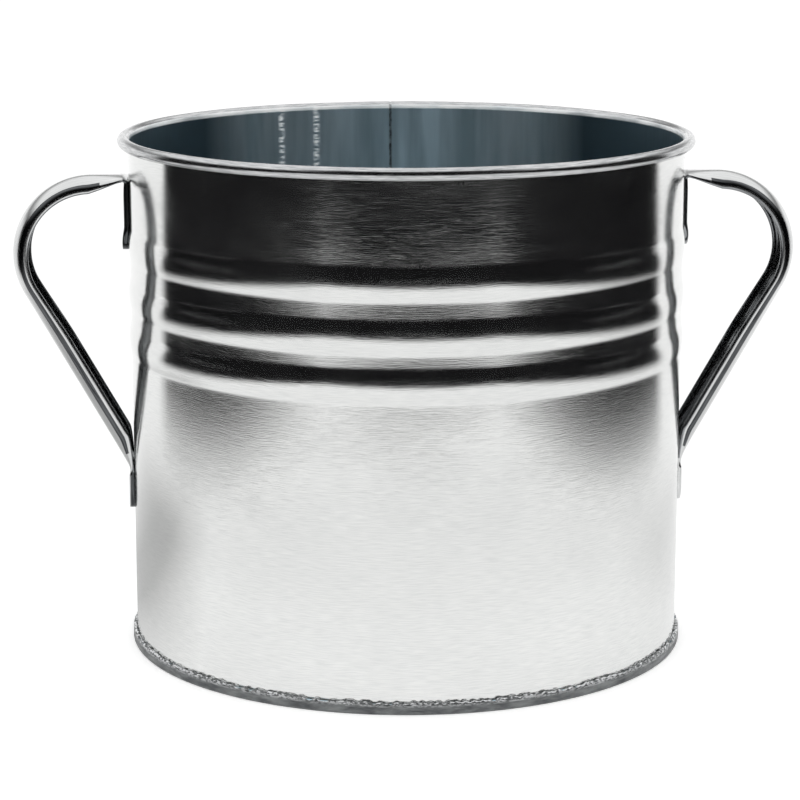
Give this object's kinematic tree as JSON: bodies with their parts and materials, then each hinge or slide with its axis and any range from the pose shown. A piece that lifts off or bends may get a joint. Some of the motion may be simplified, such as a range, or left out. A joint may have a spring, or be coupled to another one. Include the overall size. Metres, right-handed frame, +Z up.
{
  "type": "florist bucket",
  "caption": "Straight-sided galvanised florist bucket with raised beads, a wired rim, a double-seamed base and a pressed loop handle on each side.",
  "frame": {"origin": "centre of the resting ring on the surface the bucket stands on", "axes": "+Z up out of the mouth, X through the two handles, +Y towards the body's lap seam"},
  "size_m": [0.2874, 0.21, 0.1885],
  "materials": {
    "zinc_sheet": "bright galvanised, fine wavy grain round the body",
    "base_sheet": "galvanised, duller where it is folded",
    "rim_steel": "plain drawn wire",
    "handle_strip": "bright galvanised, smooth",
    "weld": "fused metal",
    "sealant": "matte sealing compound"
  },
  "bodies": {
    "root": {"body_shell": "zinc_sheet", "rim_wire": "rim_steel", "base_pan": "base_sheet", "seam_sealant": "sealant", "handle_right": "handle_strip", "handle_left": "handle_strip", "handle_welds": "weld"}
  },
  "joints": []
}
